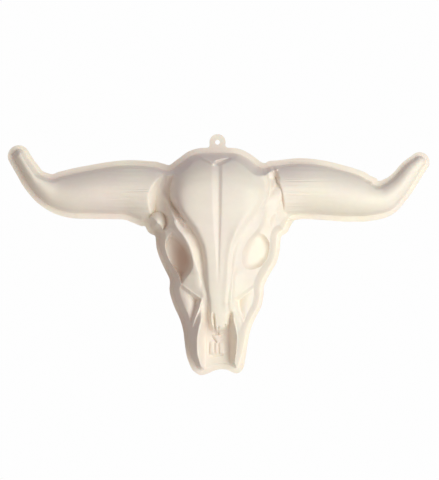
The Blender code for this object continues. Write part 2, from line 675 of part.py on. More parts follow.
def make_node(name, outline, grid, lines, hole=None):
    """One sheet piece: front and back relief joined round its edge."""
    places, triangles = plan_triangles(outline, *plan_points(outline, grid, lines), hole)
    front = SHEET + relief(places)
    back = back_relief(places, triangles, front)
    bm = bmesh.new()
    sheet = [bm.verts.new((x * MM, -y * MM, z * MM)) for (x, z), y in zip(places, front)]
    for triangle in triangles:
        bm.faces.new([sheet[i] for i in triangle])
    levels = {(vert.co.x, vert.co.z): y for vert, y in zip(sheet, back)}
    grown = bmesh.ops.extrude_face_region(bm, geom=bm.faces[:], use_keep_orig=True)
    moved = [item for item in grown["geom"] if isinstance(item, bmesh.types.BMVert)]
    for vert in moved:
        vert.co.y = -levels[(vert.co.x, vert.co.z)] * MM
    bmesh.ops.triangulate(bm, faces=[face for face in bm.faces if len(face.verts) > 3])
    bmesh.ops.recalc_face_normals(bm, faces=bm.faces[:])
    mesh = bpy.data.meshes.new(name)
    bm.to_mesh(mesh)
    bm.free()
    mesh.shade_smooth()
    mesh.set_sharp_from_angle(angle=radians(40))
    mesh.materials.append(plastic(name))
    obj = bpy.data.objects.new(name, mesh)
    bpy.context.collection.objects.link(obj)
    return obj


def plastic(name):
    """Thin cream plastic sheet."""
    material = bpy.data.materials.new("cream_plastic_" + name)
    material.use_nodes = True
    shader = material.node_tree.nodes["Principled BSDF"]
    shader.inputs["Base Color"].default_value = (*linear_colour(PLASTIC[name]), 1)
    shader.inputs["Roughness"].default_value = 0.5
    shader.inputs["Metallic"].default_value = 0.0
    return material


def main():
    for obj in list(bpy.data.objects):
        bpy.data.objects.remove(obj, do_unlink=True)
    outlines = node_outlines()
    lines = mould_lines()
    hole = arc((0, 0), HOLE_RADIUS, 0, 360, 1.0)[:-1]
    make_node("skull", outlines["skull"], FACE_GRID, lines)
    make_node("horn_left", outlines["horn_left"], HORN_GRID, horn_lines(LEFT_ROOT, -1))
    make_node("horn_right", outlines["horn_right"], HORN_GRID, horn_lines(RIGHT_ROOT, 1))
    make_node("hanging_tab", outlines["hanging_tab"], FACE_GRID, [], hole)


main()
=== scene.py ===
"""Wall decoration in the form of a long-horned skull, formed from one thin plastic sheet.

The sheet is made as the real one is: a flat blank of film is drawn over a half-relief
mould, given its thickness, trimmed with a die and punched for a nail.

Plan sizes of the mould are in millimetres on the wall plane: x to the right, z up, both
from the centre of the hanging hole. Relief is how far the form stands out from the
flange. The mesh is made in metres, with the wall plane at y = 0 and the front towards -Y.
"""

import json
from math import radians

import bpy
import numpy as np
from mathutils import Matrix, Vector

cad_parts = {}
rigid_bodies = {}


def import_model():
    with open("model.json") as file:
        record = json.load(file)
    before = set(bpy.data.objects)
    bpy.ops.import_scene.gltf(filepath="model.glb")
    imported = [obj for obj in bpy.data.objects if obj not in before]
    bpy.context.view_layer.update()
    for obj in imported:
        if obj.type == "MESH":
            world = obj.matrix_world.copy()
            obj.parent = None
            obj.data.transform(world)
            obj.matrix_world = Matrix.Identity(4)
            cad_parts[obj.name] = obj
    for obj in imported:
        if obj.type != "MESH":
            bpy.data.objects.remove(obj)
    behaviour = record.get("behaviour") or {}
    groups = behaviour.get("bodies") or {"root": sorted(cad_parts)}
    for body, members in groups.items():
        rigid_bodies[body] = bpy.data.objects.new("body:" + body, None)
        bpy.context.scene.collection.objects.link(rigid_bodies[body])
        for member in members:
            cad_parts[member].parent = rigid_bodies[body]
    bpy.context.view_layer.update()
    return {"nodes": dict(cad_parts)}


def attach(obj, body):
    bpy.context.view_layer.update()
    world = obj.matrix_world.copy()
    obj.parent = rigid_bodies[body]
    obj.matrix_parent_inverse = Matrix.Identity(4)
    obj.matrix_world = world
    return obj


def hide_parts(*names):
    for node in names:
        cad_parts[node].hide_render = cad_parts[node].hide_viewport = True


bl_info = {
    "name": "Formed skull wall decoration",
    "version": (1, 0, 0),
    "blender": (4, 5, 0),
    "location": "3D View > Sidebar > Wall skull",
    "description": "Draws a plastic sheet over a skull mould, trims it and sets a plain stage",
    "category": "Object",
}

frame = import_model()

MM = 0.001

# Trimmed edge and hanging tab
TAB_RADIUS = 10.2
TAB_SWEEP = (-18, 198)
TAB_NECK = ((-10.4, -5.6), (-13, -6.9))
DOME_TOP_Z = -6.5

# Spacing of the points on the trimmed edge, on the mould's lines and on its longest ones
EDGE_STEP = 2.5
LINE_STEP = 2.0
LONG_STEP = 3.0

# Draft of the mould: rise for each millimetre inwards, the fillet at the foot, and the
# fillets between its forms and beside the horns
WALL_RISE = 4.5
FOOT_FILLET = 2.0
FILLET = 3.0
HORN_FILLET = 2.0

# Horns from root to tip: x, z of the centre line, half width with flange, relief
LEFT_HORN = (
    (-82, -65.5, 42, 36), (-109.5, -60, 37.8, 34), (-134.5, -60.5, 35.8, 32),
    (-159.5, -62.5, 33.5, 30), (-182, -64, 31, 26), (-200.5, -62.5, 26.5, 22),
    (-215, -58, 20.6, 22), (-229, -47.5, 15.8, 21), (-236, -37.5, 14.6, 20),
    (-242.5, -27.5, 13.9, 19), (-248.5, -17.5, 13.7, 17),
)
RIGHT_HORN = (
    (78, -61.5, 39, 36), (103, -58, 38, 34), (125.5, -59.5, 37.4, 32),
    (148, -63, 35.6, 30), (170.5, -67, 33, 27), (188, -70.5, 28.8, 24),
    (207, -70, 23.8, 20), (222, -60, 19.1, 17), (232, -49.5, 16.8, 15),
    (242.5, -35.5, 15.2, 13), (252.5, -25, 12.6, 10),
)
# Lines where the horns end on the skull, top and bottom, and the rise of each end face
# and the relief at its foot
LEFT_ROOT = ((-67, -29), (-84, -100))
RIGHT_ROOT = ((68, -29), (87.5, -100))
LEFT_ROOT_RISE = 1.6
RIGHT_ROOT_RISE = 4.5
SADDLE = 22.0
# Where each horn's edge meets the skull's: x below and above
LEFT_JOIN = (-94, -76)
RIGHT_JOIN = (95, 74)
# Power of a horn's section, 0.5 for an ellipse and more for a peaked one
HORN_SECTION = 0.8
# How much narrower the flange is at the tips, with where that starts and the width over
# which it grows, and by height z beside the face
TIP_FLANGE_CUT = 2.0
TIP_START = 195
TIP_GROWTH = 30
FACE_FLANGE_CUT = ((-275, 0), (-250, 2), (-125, 2), (-105, 0))
# How far the left tip's crest leans to the right, and the width over which that grows
LEFT_TIP_LEAN = 3.5
LEAN_GROWTH = 25

# Trimmed edge of the skull between the horns and below them
LEFT_DOME = (
    (-20.5, -7.2), (-29.5, -9), (-38, -12.5), (-45.5, -18), (-53, -23.5), (-60, -28.5), (-65.5, -27.5),
)
RIGHT_DOME = ((19.5, -7.2), (28, -8.5), (37, -12.5), (45.5, -18), (54.5, -24.8), (59.5, -26), (64.5, -23.5))
LEFT_EDGE = (
    (-90.5, -105), (-87.5, -111), (-83, -115), (-78, -117), (-77, -123.5), (-76, -133),
    (-72, -145.5), (-65.5, -159.5), (-60.5, -169.5), (-59.5, -176), (-60, -185), (-57.5, -196),
    (-53, -208), (-47, -221), (-43, -235), (-41, -251), (-39, -265), (-35.5, -276),
)
RIGHT_EDGE = (
    (33, -280), (35.5, -267), (37.5, -253.5), (39.5, -242), (42.5, -231), (48, -218.5),
    (54.5, -206), (57.5, -192), (58, -181), (62, -171), (68, -160.5), (74, -150), (77.5, -137),
    (78.5, -126), (80, -117.5), (87, -113), (90.5, -106),
)
MUZZLE_EDGE = (
    (-30.5, -285.5), (-22, -291), (-13, -289.5), (-5.5, -286), (2, -284), (9.5, -284),
    (15.5, -286), (22.5, -289), (29, -287),
)

# Frontal plateau and nasal bridge: half outline down to the nose, the two sides of the
# nose's end, and by height z the crown relief and its cross curve
PLATEAU = (
    (20, 4), (45, -2), (66, -20), (69.5, -40), (65.5, -55), (60, -66), (54, -77), (47, -88), (38.5, -98.5),
    (30, -109), (24, -120), (19.5, -132), (17, -148), (16, -166), (14.5, -184),
)
NOSE_LEFT = ((12.6, -198), (11.8, -212), (11, -224), (8, -233), (2, -237))
NOSE_RIGHT = ((13.2, -198), (14.5, -212), (15.5, -222), (12.5, -231), (2, -236.5))
CROWN = (
    (-242, 31), (-228, 37), (-216, 43), (-197, 51), (-172, 59.5), (-147, 66.5), (-122, 72.5),
    (-97, 77.2), (-80, 76.6), (-64, 74.2), (-52, 70.5), (-40, 62.5), (-30, 51), (-20, 33), (-12, 12),
)
CROSS_CURVE = ((-242, 0.02), (-220, 0.016), (-170, 0.009), (-135, 0.006), (-100, 0.002), (-60, 0.001))
# How far the top of the dome arches down towards its sides
DOME_ARCH = 0.004
# Side wall of the plateau: by height z its slope and the rounding of its shoulder, how far
# in the shoulder lies, and the gap and slope of the drop outside the wall's foot
PLATEAU_RISE = ((-240, 5.0), (-105, 5.0), (-85, 8.0), (-10, 8.0))
SHOULDER = ((-240, 1.0), (-120, 1.1), (-100, 1.6), (-80, 1.7), (-50, 1.8), (-10, 2.0))
SHOULDER_INSET = 2.2
FOOT_DROP = (4, 3)
# Fillet between the plateau and the face: on the left, how much wider it is on the right,
# and the width over which that grows
PLATEAU_FILLET = (6, 20, 30)
# Rounding of the dome: centre x and z, half width, half height and relief of its foot, and
# how far below the centre it starts and is whole
DOME = (0.5, -66, 60, 62, 14)
ROUNDING = (80, 30)

# Lower face by height z: (distance from the centre line, relief) of the valley beside
# the plateau, the brow or prong crest, the foot behind it, and the outer rim
FACE = (
    (-29, (57.5, 24), (64, 18), (69, 13), (77.5, 2)),
    (-60, (62, 22), (66, 22), (71, 23), (79, 24)),
    (-78, (55, 27), (60, 33), (66, 26), (76, 22)),
    (-86, (48.5, 36), (57.5, 45), (63, 30), (74, 22)),
    (-97, (41, 49), (54, 54.5), (61.5, 34), (72.5, 22)),
    (-109, (33, 52), (48, 59), (56, 40), (68, 28)),
    (-117, (28, 54), (41.5, 61), (49, 42), (68, 26)),
    (-133, (23, 54), (33, 60), (42, 46), (68, 23)),
    (-147, (20.5, 52), (29, 58), (38, 48), (66, 23)),
    (-158, (19.5, 51), (25.5, 55), (38, 46), (60, 26)),
    (-167, (18.5, 48), (22.5, 51), (36, 45), (54, 30)),
    (-185, (17.5, 47.5), (22, 46), (33, 40.5), (47, 34)),
    (-197, (16.5, 42), (20.5, 41), (30, 36.5), (45, 33)),
    (-210, (15, 35), (20, 39.5), (27.5, 34), (43, 30)),
    (-220, (14, 30), (20, 44), (26.5, 35), (39, 25)),
    (-230, (13, 21), (22.5, 45), (27.5, 35), (34, 24)),
    (-245, (14.5, 13), (25, 37), (28, 31), (32, 22)),
    (-260, (14.5, 8.5), (25, 31), (27.5, 27), (31, 19)),
    (-272, (15, 4), (23, 24), (25.5, 22), (29.5, 14)),
    (-282, (15, 0.5), (20.5, 14), (23, 13), (26, 8)),
    (-290, (15, 0), (20, 4), (22.5, 4), (25, 2)),
)
# Relief by height z beside the plateau on the right, where no valley shows, with its lower
# end and the height over which it fades in
RIGHT_SLOPE = (
    (-197, 50), (-185, 54), (-172, 57), (-160, 60), (-147, 63), (-133, 66), (-117, 67), (-109, 66),
    (-97, 62), (-86, 58), (-78, 52), (-60, 42), (-29, 34),
)
RIGHT_SLOPE_END = -214
RIGHT_SLOPE_FADE = 14
# Slope outside the outer rim, by height z
RIM_FALL = ((-112, 0.8), (-96, 1.5))
# How much higher the last three columns stand on the right, by height z
RIGHT_FILL = (
    ((-86, 0), (-72, 9), (-58, 8), (-46, 0)),
    ((-97, 0), (-86, 7), (-72, 10), (-58, 8), (-46, 0)),
    ((-172, 0), (-147, 11), (-133, 12), (-120, 7), (-105, 4), (-86, 9), (-72, 10), (-58, 8), (-46, 0)),
)

# Eye sockets: outlines; the left one's bowl (x, relief and curve), how it leans below a
# height z and the slope of its wall; the right one's depth and the width of its wall
LEFT_ORBIT = (
    (-56.5, -112.5), (-62, -118), (-65, -125.5), (-66, -133.5), (-65, -142), (-61, -152), (-55, -160),
    (-49.5, -168.5), (-44.5, -176.5), (-39.5, -170), (-34.5, -163.5), (-30.5, -156), (-30.5, -147),
    (-34, -137), (-39.5, -128), (-47, -119.5),
)
RIGHT_ORBIT = (
    (50.5, -114), (57, -115.5), (63, -122.5), (66.5, -132), (64.5, -143.5), (58, -151.5), (49.5, -157),
    (40.5, -159), (34, -156.5), (30.5, -148.5), (31, -137), (35.5, -126), (42, -118),
)
ORBIT_BED = (-60.0, 19.0, 0.03)
ORBIT_LEAN = (-130, 0.15)
ORBIT_RISE = 3.0
RIGHT_ORBIT_DEPTH = 10.0
RIGHT_ORBIT_WALL = 9.0

# Cheek hollow under the edge of the flat facet below each socket, the slope of its wall,
# and the long bulge in it: x, z and relief of its crest, and its cross curve
CHEEK_HOLLOW = (
    (44.5, -177.5), (32, -187), (19.5, -195.5), (22.4, -204.8), (27.6, -218.3), (32.5, -233), (40, -244),
    (56, -228), (68, -200), (66, -178),
)
CHEEK_RISE = 1.7
CHEEK_BULGE = (
    (44, -180, 30), (38.5, -190, 31.5), (35, -201, 31.5), (35, -213, 28.5), (37, -226, 24), (39, -238, 20),
)
BULGE_CURVE = 0.06

# Ear bumps below the horn roots: x, z, half width, half height; the left one stands in a
# moat that starts a little outside it, with its own slope
LEFT_EAR = (-74.5, -100, 11, 12.5)
RIGHT_EAR = (77, -100, 12, 12.5)
EAR_BASE = 23.0
EAR_RISE = 12.0
EAR_MOAT = (1.05, 38)
RIGHT_EAR_RISE = 5.0

# Seam of the forehead: its x, its width on each side, its depth by height z, the depth
# from which it has its whole width, and the least part of its width
SEAM_X = 1.2
SEAM_LEFT_WIDTH = 9.5
SEAM_RIGHT_WIDTH = 5.5
SEAM_DEPTH = ((-178, 0), (-150, 0.9), (-100, 2.0), (-60, 2.5), (-27, 2.8), (-10, 2.8))
SEAM_WIDE_FROM = 2.6
SEAM_LEAST = 0.35
# Top of the seam, and the end and depth of its right arm, with the arm's half width
SEAM_TOP = (0.5, -27)
SEAM_ARM = (18.5, -18, 10.0)
ARM_WIDTH = 5.0

# Three teeth on the recess floor
TOOTH_EDGES = (-9.8, -3.6, 1.6, 8.2)
TEETH_TOP = -250
TEETH_BOTTOM = -265
TOOTH_RELIEF = 1.8

# Fine forms of the mould, in millimetres: each a line of x, z points with the height of a
# ridge, or the depth of a groove where it is negative, and its half width
FINE_LINES = (
    (((-19.5, -195), (-22.6, -204.8), (-27.8, -218.3), (-33, -234)), 3.6, 3.0),
    (((-44, -177.6), (-31.5, -187), (-19.8, -195.4)), 0.6, 2.2),
    (((68, -32), (71, -37), (74.5, -48)), -7.0, 4.4),
    (((-21, -19.5), (-12, -24), (-3, -29)), 4.5, 3.2),
    (((-57, -85), (-53.5, -93), (-50, -100)), 2.0, 2.4),
    (((-50.5, -90), (-46, -99), (-42, -106)), -2.4, 2.0),
    (((-47, -91), (-43, -98), (-40, -103)), 1.8, 1.6),
    (((-7.6, -212), (-7.4, -229)), 3.0, 1.9),
    (((-5, -213), (-2.3, -239)), -5.0, 2.0),
    (((1.2, -229), (1.2, -240)), -3.5, 1.5),
    (((9.1, -226), (9.1, -233)), -3.0, 1.6),
    (((-7.4, -242), (-0.6, -250.5)), -1.8, 1.3),
    (((-0.2, -250), (6.2, -240.6)), 1.6, 1.8),
    (((-10.4, -266), (-3.6, -267), (2, -266.5), (7.4, -266)), -1.4, 1.4),
    (((-10.6, -250), (-10.6, -265)), -1.0, 1.2),
    (((-3.6, -251), (-3.6, -265)), -0.8, 0.9),
    (((1.6, -251), (1.6, -265)), -0.8, 0.9),
)
# Flat triangle over the teeth
BEAK = ((-7.4, -240), (6.4, -239), (-0.4, -250.5))
BEAK_RELIEF = 2.4

# Making of the sheet: margin of the blank outside the outline and what of it is cut off
# at once, the misses of the mould that split a cell the first and the second time, and the
# points that are worked out at once, to save memory
BLANK_MARGIN = 6
WASTE_FROM = 4
MISSES = (0.12, 0.05)
BATCH = 20000
# Least part of a face's normal that counts as facing forwards, so that the back of a steep
# wall lies at most five times the sheet's thickness behind its front
LEAST_FACING = 0.2
# Front of the trimming die and its depth
DIE_FRONT = -120
DIE_DEPTH = 140

# Painted warm bounce light in the left socket: middle and reach in x, y and z
SOCKET_BOUNCE_SHADE = ((-42, -20, -143), (19, 50, 34))

# Middle of the camera's view on the wall plane: x, z
VIEW_MIDDLE = (2.5, -122.25)

# Parts of the sheet's faces that are kept on its front and on its back
FRONT_KEPT = 0.62
BACK_KEPT = 0.3


def hermite(start, end, rise_start, rise_end, width, part):
    """Cubic between two values with given slopes, at a part from 0 to 1 of its width."""
    square = part * part
    cube = square * part
    return (
        (2 * cube - 3 * square + 1) * start + (cube - 2 * square + part) * width * rise_start
        + (3 * square - 2 * cube) * end + (cube - square) * width * rise_end
    )


def knot_slopes(places, values):
    """Slopes of a curve that keeps its high and low points at its knots."""
    steps = np.diff(places, axis=0)
    rises = np.diff(values, axis=0) / steps
    slopes = np.empty_like(values)
    slopes[0] = rises[0]
    slopes[-1] = rises[-1]
    same = rises[:-1] * rises[1:] > 0
    both = np.where(same, rises[:-1] + rises[1:], 1.0)
    slopes[1:-1] = np.where(same, 2 * rises[:-1] * rises[1:] / both, 0.0)
    return slopes


def read_curve(places, values, at):
    """Values at places on the smooth curve through knots; places may differ per column."""
    places = np.asarray(places, dtype=float)
    values = np.asarray(values, dtype=float)
    if places.ndim == 1:
        places = places[:, None]
        values = values[:, None]
    slopes = knot_slopes(places, values)
    result = np.where(at <= places[0], values[0], values[-1])
    for i in range(len(places) - 1):
        width = places[i + 1] - places[i]
        part = np.clip((at - places[i]) / width, 0, 1)
        curve = hermite(values[i], values[i + 1], slopes[i], slopes[i + 1], width, part)
        result = np.where((at > places[i]) & (at <= places[i + 1]), curve, result)
    return result


def by_height(stations, z):
    """A size given at a few heights, read at heights z."""
    ordered = sorted(stations)
    return read_curve([s[0] for s in ordered], [s[1] for s in ordered], z)


def smooth_line(points, step):
    """Rounded line through points, with a point about every step."""
    pts = np.asarray(points, dtype=float)
    padded = np.vstack((2 * pts[0] - pts[1], pts, 2 * pts[-1] - pts[-2]))
    fine = []
    for a, b, c, d in zip(padded, padded[1:], padded[2:], padded[3:]):
        for t in np.linspace(0, 1, 12, endpoint=False):
            fine.append(0.5 * (2 * b + (c - a) * t + (2 * a - 5 * b + 4 * c - d) * t * t
                               + (3 * b - a - 3 * c + d) * t ** 3))
    return spaced(np.vstack((fine, pts[-1])), step)


def spaced(line, step):
    """The same line with evenly spaced points."""
    lengths = np.concatenate(([0], np.cumsum(np.linalg.norm(np.diff(line, axis=0), axis=1))))
    count = max(2, int(round(lengths[-1] / step)) + 1)
    marks = np.linspace(0, lengths[-1], count)
    return np.column_stack([np.interp(marks, lengths, line[:, k]) for k in range(line.shape[1])])


def arc(centre, radius, start, end, step):
    """Points on an arc, angles in degrees."""
    count = max(3, int(abs(radians(end - start)) * radius / step) + 1)
    angles = np.radians(np.linspace(start, end, count))
    return np.column_stack((centre[0] + radius * np.cos(angles), centre[1] + radius * np.sin(angles)))


def horn_line(stations):
    """Fine centre line of a horn: x, z, half width and relief."""
    return smooth_line(stations, LINE_STEP)


def horn_edges(stations):
    """Left-hand and right-hand trimmed edges of a horn, root to tip, and the tip's arc."""
    line = horn_line(stations)
    way = np.gradient(line[:, :2], axis=0)
    way /= np.linalg.norm(way, axis=1)[:, None]
    side = np.column_stack((-way[:, 1], way[:, 0]))
    left, right = (
        edge[segment_distance(edge, line)[0] > line[:, 2] - 0.3]
        for edge in (line[:, :2] + side * line[:, 2:3], line[:, :2] - side * line[:, 2:3]))
    heading = np.degrees(np.arctan2(way[-1, 1], way[-1, 0]))
    tip = arc(line[-1, :2], line[-1, 2], heading - 80, heading + 80, LINE_STEP)
    return left, right, tip


def trimmed_edge(step, with_tab):
    """Whole trimmed edge, anticlockwise as seen from the front, with or without the tab."""
    left_low, left_high, left_tip = horn_edges(LEFT_HORN)
    right_high, right_low, right_tip = horn_edges(RIGHT_HORN)
    left_low = left_low[left_low[:, 0] < LEFT_JOIN[0]]
    left_high = left_high[left_high[:, 0] < LEFT_JOIN[1]]
    right_low = right_low[right_low[:, 0] > RIGHT_JOIN[0]]
    right_high = right_high[right_high[:, 0] > RIGHT_JOIN[1]]
    tab = np.vstack((arc((0, 0), TAB_RADIUS, *TAB_SWEEP, LINE_STEP), TAB_NECK))
    top = tab if with_tab else ((0, DOME_TOP_Z),)
    end = [(-x, z) for x, z in TAB_NECK[::-1]] if with_tab else [(10, DOME_TOP_Z - 0.2)]
    whole = np.vstack((
        top, LEFT_DOME, left_high, left_tip, left_low[::-1], LEFT_EDGE,
        MUZZLE_EDGE, RIGHT_EDGE, right_low, right_tip, right_high[::-1], RIGHT_DOME[::-1], end,
    ))
    return spaced(smooth_line(np.vstack((whole, whole[:1])), step * 0.5), step)[:-1]


def segment_distance(points, line):
    """Distance of each point to a line, with the nearest segment and the part along it."""
    best = np.full(len(points), np.inf)
    where = np.zeros(len(points), dtype=int)
    part = np.zeros(len(points))
    for i, (a, b) in enumerate(zip(line[:-1, :2], line[1:, :2])):
        run = b - a
        t = np.clip((points - a) @ run / (run @ run), 0, 1)
        gap = np.linalg.norm(points - a - t[:, None] * run, axis=1)
        nearer = gap < best
        best[nearer] = gap[nearer]
        where[nearer] = i
        part[nearer] = t[nearer]
    return best, where, part


def inside(points, loop):
    """Whether each point lies inside a closed outline."""
    result = np.zeros(len(points), dtype=bool)
    x, z = points[:, 0], points[:, 1]
    for (ax, az), (bx, bz) in zip(loop, np.roll(loop, -1, axis=0)):
        if az == bz:
            continue
        crosses = (az > z) != (bz > z)
        result ^= crosses & (x < (bx - ax) * (z - az) / (bz - az) + ax)
    return result


def depth_inside(points, loop):
    """Distance to a closed outline, positive inside it."""
    closed = np.vstack((loop, loop[:1]))
    gap = segment_distance(points, closed)[0]
    return np.where(inside(points, loop), gap, -gap)


def closed_loop(points):
    """Rounded closed outline through points."""
    pts = np.asarray(points, dtype=float)
    return smooth_line(np.vstack((pts, pts[:1])), LINE_STEP)[:-1]


def higher(a, b, blend):
    """The higher of two surfaces, with a fillet where they cross."""
    near = np.maximum(blend - np.abs(a - b), 0) / blend
    return np.maximum(a, b) + near * near * blend / 4


def lower(a, b, blend):
    """The lower of two surfaces, with a rounding where they cross."""
    return -higher(-a, -b, blend)


def soft_step(part):
    """Rises smoothly from 0 to 1."""
    part = np.clip(part, 0, 1)
    return part * part * (3 - 2 * part)


EDGE = trimmed_edge(EDGE_STEP, True)
FORM_EDGE = trimmed_edge(EDGE_STEP, False)
PLATEAU_LOOP = np.vstack((
    smooth_line([(-x, z) for x, z in PLATEAU + NOSE_LEFT], LONG_STEP),
    smooth_line((PLATEAU + NOSE_RIGHT)[::-1], LONG_STEP),
))
LEFT_ORBIT_LOOP = closed_loop(LEFT_ORBIT)
RIGHT_ORBIT_LOOP = closed_loop(RIGHT_ORBIT)
HOLLOW_LOOP = spaced(np.array(CHEEK_HOLLOW + CHEEK_HOLLOW[:1], dtype=float), LINE_STEP)[:-1]


def upper_body(points):
    """Frontal domes and nasal bridge, standing above the rest of the face."""
    x, z = points[:, 0], points[:, 1]
    top = by_height(CROWN, z + DOME_ARCH * x * x) - by_height(CROSS_CURVE, z) * x * x
    shoulder = depth_inside(points, PLATEAU_LOOP)
    softness = by_height(SHOULDER, z)
    fall = np.logaddexp(0, (SHOULDER_INSET - shoulder) / softness) * softness * by_height(PLATEAU_RISE, z)
    middle, height, half_width, half_height, foot = DOME
    reach = np.square((x - middle) / half_width) + np.square(np.maximum(z - height, 0) / half_height)
    begin, whole = ROUNDING
    rounding = soft_step((z - height + begin) / (begin - whole))
    round_off = 1 - rounding + rounding * np.sqrt(np.clip(1 - reach ** 4, 0, 1))
    gap, slope = FOOT_DROP
    return foot + (top - fall - foot) * round_off - slope * np.maximum(-gap - shoulder, 0)


def lower_face(points):
    """Valley, brows, cheeks, prongs and recess floor."""
    rows = sorted(FACE)
    heights = [row[0] for row in rows]
    x = np.abs(points[:, 0])
    z = points[:, 1]
    places = [np.zeros(len(points))]
    reliefs = [read_curve(heights, [row[1][1] for row in rows], z)]
    for k in range(1, 5):
        places.append(read_curve(heights, [row[k][0] for row in rows], z))
        reliefs.append(read_curve(heights, [row[k][1] for row in rows], z))
    fill = np.where(points[:, 0] > 0, np.clip((z - RIGHT_SLOPE_END) / RIGHT_SLOPE_FADE, 0, 1), 0.0)
    reliefs[1] = reliefs[1] + fill * (by_height(RIGHT_SLOPE, z) - reliefs[1])
    for k, rises in enumerate(RIGHT_FILL):
        reliefs[k + 2] = reliefs[k + 2] + (points[:, 0] > 0) * by_height(rises, z)
    rim = reliefs[-1] - by_height(RIM_FALL, z) * np.maximum(x - places[-1], 0)
    inner = read_curve(np.array(places), np.array(reliefs), x)
    return np.where(x > places[-1], rim, inner)


def tip_cut(points):
    """How much narrower the flange is near the horns' tips."""
    return TIP_FLANGE_CUT * soft_step((np.abs(points[:, 0]) - TIP_START) / TIP_GROWTH)


def horn(points, stations, root, root_rise, flange):
    """Half-round horn that starts with an end face at its root line."""
    line = horn_line(stations)
    gap, where, part = segment_distance(points, line)
    width = line[where, 2] + part * (line[where + 1, 2] - line[where, 2]) - flange + tip_cut(points)
    relief = line[where, 3] + part * (line[where + 1, 3] - line[where, 3])
    body = relief * np.clip(1 - (gap / width) ** 2, 0, 1) ** HORN_SECTION
    top, bottom = np.array(root, dtype=float)
    across = np.array((top[1] - bottom[1], bottom[0] - top[0])) / np.linalg.norm(top - bottom)
    outward = across * np.sign(across[0] * stations[-1][0])
    end_face = SADDLE + root_rise * ((points - top) @ outward)
    return lower(body, end_face, FILLET)


def carve_orbits(points, face):
    """Eye sockets: a deep bowl on the left and a shallow hollow on the right."""
    depth = depth_inside(points, LEFT_ORBIT_LOOP)
    middle, floor, curve = ORBIT_BED
    height, lean = ORBIT_LEAN
    bed = floor + curve * (points[:, 0] - middle - lean * np.maximum(height - points[:, 1], 0)) ** 2
    pit = higher(face - ORBIT_RISE * depth, bed, FILLET)
    face = np.where(depth > 0, np.minimum(face, pit), face)
    part = np.clip(depth_inside(points, RIGHT_ORBIT_LOOP) / RIGHT_ORBIT_WALL, 0, 1)
    return face - RIGHT_ORBIT_DEPTH * part * (2 - part)


def carve_cheek(points, face):
    """Hollow under the edge of the cheek facet, with a long bulge in it."""
    mirrored = np.column_stack((np.abs(points[:, 0]), points[:, 1]))
    depth = depth_inside(mirrored, HOLLOW_LOOP)
    crest = smooth_line(CHEEK_BULGE, LONG_STEP)
    gap, where, part = segment_distance(mirrored, crest)
    bulge = crest[where, 2] + part * (crest[where + 1, 2] - crest[where, 2]) - BULGE_CURVE * gap * gap
    hollow = higher(face - CHEEK_RISE * depth, bulge, FILLET)
    return np.where(depth > 0, np.minimum(face, hollow), face)


def add_ears(points, face):
    """Rounded bump below each horn root, the left one in a moat."""
    x, z, half_width, half_height = LEFT_EAR
    reach = np.hypot((points[:, 0] - x) / half_width, (points[:, 1] - z) / half_height)
    knob = EAR_BASE + EAR_RISE * np.clip(1 - reach ** 2, 0, 1)
    moat = EAR_BASE + EAR_MOAT[1] * np.maximum(reach - EAR_MOAT[0], 0)
    face = np.where(reach < 1, knob, np.minimum(face, moat))
    x, z, half_width, half_height = RIGHT_EAR
    reach = np.hypot((points[:, 0] - x) / half_width, (points[:, 1] - z) / half_height)
    return face + RIGHT_EAR_RISE * np.clip(1 - reach ** 2, 0, 1)


def seam_cut(points):
    """Depth of the V seam down the forehead and of its arm."""
    x, z = points[:, 0] - SEAM_X, points[:, 1]
    depth = by_height(SEAM_DEPTH, z)
    part = np.clip(depth / SEAM_WIDE_FROM, SEAM_LEAST, 1)
    width = np.where(x < 0, SEAM_LEFT_WIDTH, SEAM_RIGHT_WIDTH) * part
    cut = depth * soft_step(1 - np.abs(x) / width) * soft_step((SEAM_TOP[1] + 4 - z) / 6)
    gap = segment_distance(points, np.array((SEAM_TOP, SEAM_ARM[:2]), dtype=float))[0]
    return np.maximum(cut, SEAM_ARM[2] * soft_step(1 - gap / ARM_WIDTH))


def teeth(points):
    """Relief of the three teeth on the recess floor."""
    x, z = points[:, 0], points[:, 1]
    total = np.zeros(len(points))
    for left, right in zip(TOOTH_EDGES, TOOTH_EDGES[1:]):
        half = (right - left) / 2
        across = np.clip(1 - ((x - left - half) / half) ** 4, 0, 1)
        upright = soft_step((TEETH_TOP + 2 - z) / 4) * soft_step((z - TEETH_BOTTOM) / 2.5)
        total = np.maximum(total, TOOTH_RELIEF * across * upright)
    return total


def relief(points, flange):
    """How far the form stands out from the flange at each plan point."""
    cut = by_height(FACE_FLANGE_CUT, points[:, 1]) + tip_cut(points)
    depth = depth_inside(points, FORM_EDGE) - flange + cut
    face = lower_face(points)
    face = add_ears(points, face)
    face = carve_orbits(points, face)
    face = carve_cheek(points, face) + teeth(points)
    narrow, more, growth = PLATEAU_FILLET
    face = higher(face, upper_body(points), narrow + more * soft_step(points[:, 0] / growth))
    face = face - seam_cut(points)
    lean = LEFT_TIP_LEAN * soft_step((-TIP_START - points[:, :1]) / LEAN_GROWTH) * (1, 0)
    left = horn(points - lean, LEFT_HORN, LEFT_ROOT, LEFT_ROOT_RISE, flange)
    right = horn(points, RIGHT_HORN, RIGHT_ROOT, RIGHT_ROOT_RISE, flange)
    face = higher(higher(face, left, HORN_FILLET), right, HORN_FILLET)
    rise = np.maximum(depth, 0)
    wall = WALL_RISE * (np.hypot(rise, FOOT_FILLET) - FOOT_FILLET)
    return np.where(depth > 0, np.maximum(lower(face, wall, FILLET), 0), 0)


